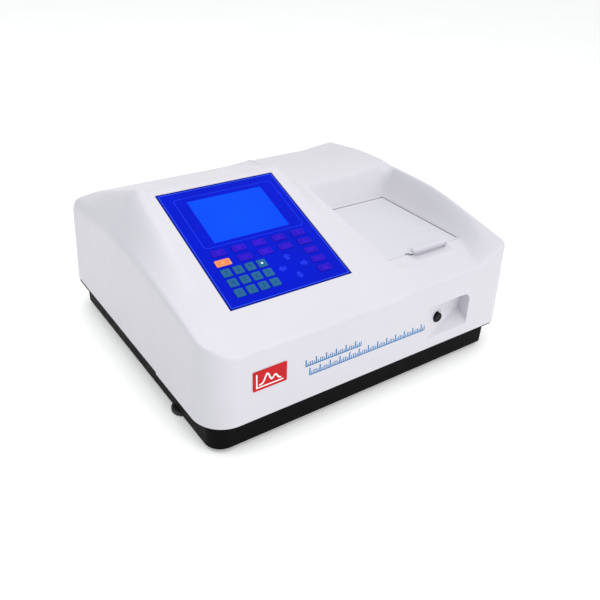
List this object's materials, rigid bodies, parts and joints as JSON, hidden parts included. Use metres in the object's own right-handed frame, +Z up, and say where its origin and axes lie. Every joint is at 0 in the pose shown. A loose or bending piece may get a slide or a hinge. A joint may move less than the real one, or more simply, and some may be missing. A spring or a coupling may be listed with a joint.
{
  "type": "benchtop spectrophotometer",
  "caption": "Benchtop double-beam spectrophotometer: sloping key console with display, hinged sample lid, pull-rod cell changer and a black base tray.",
  "frame": {"origin": "centre of the footprint on the bench", "axes": "+X to the user's right, -Y to the user at the front, +Z up"},
  "size_m": [0.55, 0.49, 0.2679],
  "materials": {
    "cover_plastic": "fine moulded texture, satin",
    "lid_plastic": "satin moulded plastic",
    "base_black": "black powder coat",
    "foot_plastic": "black moulded thumb wheel",
    "foot_rubber": "black rubber",
    "panel_blue": "printed polycarbonate film",
    "display": "backlit display under a clear window",
    "circuit_board": "solder mask",
    "badge_red": "printed badge",
    "steel": "ground bar",
    "screw_steel": "zinc plated",
    "tub_black": "matt black inside",
    "holder_black": "black anodised",
    "knob_black": "black moulded knob",
    "cast_alloy": "cast, painted grey",
    "turned_alloy": "turned",
    "sheet_steel": "zinc plated sheet",
    "mirror": "first-surface mirror",
    "lamp_glass": "quartz envelope",
    "rear_sheet": "grey painted sheet",
    "socket_black": "moulded socket",
    "switch_black": "moulded rocker",
    "port_metal": "plated shell",
    "fan_black": "moulded fan",
    "key_purple": "printed key",
    "key_orange": "printed key",
    "key_teal": "printed key",
    "key_arrow": "printed key"
  },
  "bodies": {
    "chassis": {"top_cover": "cover_plastic", "base_tray": "base_black", "rear_feet": "foot_rubber", "keypad_overlay": "panel_blue", "lcd_window": "display", "keypad_board": "circuit_board", "front_badge": "badge_red", "hinge_pin": "steel", "compartment_tub": "tub_black", "reference_holder": "holder_black", "monochromator_case": "cast_alloy", "lamp_house": "sheet_steel", "lamps": "lamp_glass", "cover_screws": "screw_steel", "detector_case": "cast_alloy", "main_board": "circuit_board", "power_supply": "sheet_steel", "rear_plate": "rear_sheet", "power_inlet": "socket_black", "data_port": "port_metal", "fan_frame": "fan_black"},
    "lid": {"sample_lid": "lid_plastic"},
    "cell_changer": {"cell_carriage": "holder_black", "pull_rod": "steel", "rod_knob": "knob_black"},
    "left_foot": {"foot_left": "foot_plastic"},
    "right_foot": {"foot_right": "foot_plastic"},
    "grating": {"grating_table": "turned_alloy"},
    "mirror_arm": {"lamp_mirror": "mirror"},
    "rocker": {"power_switch": "switch_black"},
    "fan_impeller": {"fan_rotor": "fan_black"},
    "key_f1_cap": {"key_f1": "key_purple"},
    "key_f2_cap": {"key_f2": "key_purple"},
    "key_f3_cap": {"key_f3": "key_purple"},
    "key_f4_cap": {"key_f4": "key_purple"},
    "key_f5_cap": {"key_f5": "key_purple"},
    "key_f6_cap": {"key_f6": "key_purple"},
    "key_f7_cap": {"key_f7": "key_purple"},
    "key_f8_cap": {"key_f8": "key_purple"},
    "key_f9_cap": {"key_f9": "key_purple"},
    "key_f10_cap": {"key_f10": "key_purple"},
    "key_f11_cap": {"key_f11": "key_purple"},
    "key_f12_cap": {"key_f12": "key_purple"},
    "key_start_cap": {"key_start": "key_orange"},
    "key_7_cap": {"key_7": "key_teal"},
    "key_8_cap": {"key_8": "key_teal"},
    "key_9_cap": {"key_9": "key_teal"},
    "key_point_cap": {"key_point": "key_teal"},
    "key_4_cap": {"key_4": "key_teal"},
    "key_5_cap": {"key_5": "key_teal"},
    "key_6_cap": {"key_6": "key_teal"},
    "key_0_cap": {"key_0": "key_teal"},
    "key_1_cap": {"key_1": "key_teal"},
    "key_2_cap": {"key_2": "key_teal"},
    "key_3_cap": {"key_3": "key_teal"},
    "key_minus_cap": {"key_minus": "key_teal"},
    "key_right_cap": {"key_right": "key_arrow"},
    "key_up_cap": {"key_up": "key_arrow"},
    "key_left_cap": {"key_left": "key_arrow"},
    "key_down_cap": {"key_down": "key_arrow"}
  },
  "joints": [
    {"name": "lid_hinge", "type": "hinge", "parent": "chassis", "child": "lid", "pos_m": [0.1565, 0.024, 0.176], "axis": [-1, 0, 0], "range_deg": [0, 100]},
    {"name": "cell_changer_pull", "type": "slide", "parent": "chassis", "child": "cell_changer", "axis": [0, -1, 0], "range_m": [0, 0.06]},
    {"name": "left_foot_turn", "type": "hinge", "parent": "chassis", "child": "left_foot", "pos_m": [-0.252, -0.122, 0.004], "axis": [0, 0, 1], "continuous": true},
    {"name": "right_foot_turn", "type": "hinge", "parent": "chassis", "child": "right_foot", "pos_m": [0.252, -0.122, 0.004], "axis": [0, 0, 1], "continuous": true},
    {"name": "grating_turn", "type": "hinge", "parent": "chassis", "child": "grating", "pos_m": [-0.04, 0.02, 0.06], "axis": [0, 0, 1], "range_deg": [-35, 35]},
    {"name": "lamp_mirror_turn", "type": "hinge", "parent": "chassis", "child": "mirror_arm", "pos_m": [-0.075, 0.1, 0.06], "axis": [0, 0, 1], "range_deg": [0, 60]},
    {"name": "power_switch_rock", "type": "hinge", "parent": "chassis", "child": "rocker", "pos_m": [-0.165, 0.2279, 0.126], "axis": [-1, 0, 0], "range_deg": [0, 18]},
    {"name": "fan_spin", "type": "hinge", "parent": "chassis", "child": "fan_impeller", "pos_m": [0.015, 0.219, 0.105], "axis": [0, 1, 0], "continuous": true},
    {"name": "key_f1_press", "type": "slide", "parent": "chassis", "child": "key_f1_cap", "axis": [0, 0.3338, -0.9426], "range_m": [0, 0.0008], "stiffness_N_per_m": 500, "springref_m": -0.0006},
    {"name": "key_f2_press", "type": "slide", "parent": "chassis", "child": "key_f2_cap", "axis": [0, 0.3338, -0.9426], "range_m": [0, 0.0008], "stiffness_N_per_m": 500, "springref_m": -0.0006},
    {"name": "key_f3_press", "type": "slide", "parent": "chassis", "child": "key_f3_cap", "axis": [0, 0.3338, -0.9426], "range_m": [0, 0.0008], "stiffness_N_per_m": 500, "springref_m": -0.0006},
    {"name": "key_f4_press", "type": "slide", "parent": "chassis", "child": "key_f4_cap", "axis": [0, 0.3338, -0.9426], "range_m": [0, 0.0008], "stiffness_N_per_m": 500, "springref_m": -0.0006},
    {"name": "key_f5_press", "type": "slide", "parent": "chassis", "child": "key_f5_cap", "axis": [0, 0.3338, -0.9426], "range_m": [0, 0.0008], "stiffness_N_per_m": 500, "springref_m": -0.0006},
    {"name": "key_f6_press", "type": "slide", "parent": "chassis", "child": "key_f6_cap", "axis": [0, 0.3338, -0.9426], "range_m": [0, 0.0008], "stiffness_N_per_m": 500, "springref_m": -0.0006},
    {"name": "key_f7_press", "type": "slide", "parent": "chassis", "child": "key_f7_cap", "axis": [0, 0.3338, -0.9426], "range_m": [0, 0.0008], "stiffness_N_per_m": 500, "springref_m": -0.0006},
    {"name": "key_f8_press", "type": "slide", "parent": "chassis", "child": "key_f8_cap", "axis": [0, 0.3338, -0.9426], "range_m": [0, 0.0008], "stiffness_N_per_m": 500, "springref_m": -0.0006},
    {"name": "key_f9_press", "type": "slide", "parent": "chassis", "child": "key_f9_cap", "axis": [0, 0.3338, -0.9426], "range_m": [0, 0.0008], "stiffness_N_per_m": 500, "springref_m": -0.0006},
    {"name": "key_f10_press", "type": "slide", "parent": "chassis", "child": "key_f10_cap", "axis": [0, 0.3338, -0.9426], "range_m": [0, 0.0008], "stiffness_N_per_m": 500, "springref_m": -0.0006},
    {"name": "key_f11_press", "type": "slide", "parent": "chassis", "child": "key_f11_cap", "axis": [0, 0.3338, -0.9426], "range_m": [0, 0.0008], "stiffness_N_per_m": 500, "springref_m": -0.0006},
    {"name": "key_f12_press", "type": "slide", "parent": "chassis", "child": "key_f12_cap", "axis": [0, 0.3338, -0.9426], "range_m": [0, 0.0008], "stiffness_N_per_m": 500, "springref_m": -0.0006},
    {"name": "key_start_press", "type": "slide", "parent": "chassis", "child": "key_start_cap", "axis": [0, 0.3338, -0.9426], "range_m": [0, 0.0008], "stiffness_N_per_m": 500, "springref_m": -0.0006},
    {"name": "key_7_press", "type": "slide", "parent": "chassis", "child": "key_7_cap", "axis": [0, 0.3338, -0.9426], "range_m": [0, 0.0008], "stiffness_N_per_m": 500, "springref_m": -0.0006},
    {"name": "key_8_press", "type": "slide", "parent": "chassis", "child": "key_8_cap", "axis": [0, 0.3338, -0.9426], "range_m": [0, 0.0008], "stiffness_N_per_m": 500, "springref_m": -0.0006},
    {"name": "key_9_press", "type": "slide", "parent": "chassis", "child": "key_9_cap", "axis": [0, 0.3338, -0.9426], "range_m": [0, 0.0008], "stiffness_N_per_m": 500, "springref_m": -0.0006},
    {"name": "key_point_press", "type": "slide", "parent": "chassis", "child": "key_point_cap", "axis": [0, 0.3338, -0.9426], "range_m": [0, 0.0008], "stiffness_N_per_m": 500, "springref_m": -0.0006},
    {"name": "key_4_press", "type": "slide", "parent": "chassis", "child": "key_4_cap", "axis": [0, 0.3338, -0.9426], "range_m": [0, 0.0008], "stiffness_N_per_m": 500, "springref_m": -0.0006},
    {"name": "key_5_press", "type": "slide", "parent": "chassis", "child": "key_5_cap", "axis": [0, 0.3338, -0.9426], "range_m": [0, 0.0008], "stiffness_N_per_m": 500, "springref_m": -0.0006},
    {"name": "key_6_press", "type": "slide", "parent": "chassis", "child": "key_6_cap", "axis": [0, 0.3338, -0.9426], "range_m": [0, 0.0008], "stiffness_N_per_m": 500, "springref_m": -0.0006},
    {"name": "key_0_press", "type": "slide", "parent": "chassis", "child": "key_0_cap", "axis": [0, 0.3338, -0.9426], "range_m": [0, 0.0008], "stiffness_N_per_m": 500, "springref_m": -0.0006},
    {"name": "key_1_press", "type": "slide", "parent": "chassis", "child": "key_1_cap", "axis": [0, 0.3338, -0.9426], "range_m": [0, 0.0008], "stiffness_N_per_m": 500, "springref_m": -0.0006},
    {"name": "key_2_press", "type": "slide", "parent": "chassis", "child": "key_2_cap", "axis": [0, 0.3338, -0.9426], "range_m": [0, 0.0008], "stiffness_N_per_m": 500, "springref_m": -0.0006},
    {"name": "key_3_press", "type": "slide", "parent": "chassis", "child": "key_3_cap", "axis": [0, 0.3338, -0.9426], "range_m": [0, 0.0008], "stiffness_N_per_m": 500, "springref_m": -0.0006},
    {"name": "key_minus_press", "type": "slide", "parent": "chassis", "child": "key_minus_cap", "axis": [0, 0.3338, -0.9426], "range_m": [0, 0.0008], "stiffness_N_per_m": 500, "springref_m": -0.0006},
    {"name": "key_right_press", "type": "slide", "parent": "chassis", "child": "key_right_cap", "axis": [0, 0.3338, -0.9426], "range_m": [0, 0.0008], "stiffness_N_per_m": 500, "springref_m": -0.0006},
    {"name": "key_up_press", "type": "slide", "parent": "chassis", "child": "key_up_cap", "axis": [0, 0.3338, -0.9426], "range_m": [0, 0.0008], "stiffness_N_per_m": 500, "springref_m": -0.0006},
    {"name": "key_left_press", "type": "slide", "parent": "chassis", "child": "key_left_cap", "axis": [0, 0.3338, -0.9426], "range_m": [0, 0.0008], "stiffness_N_per_m": 500, "springref_m": -0.0006},
    {"name": "key_down_press", "type": "slide", "parent": "chassis", "child": "key_down_cap", "axis": [0, 0.3338, -0.9426], "range_m": [0, 0.0008], "stiffness_N_per_m": 500, "springref_m": -0.0006}
  ]
}
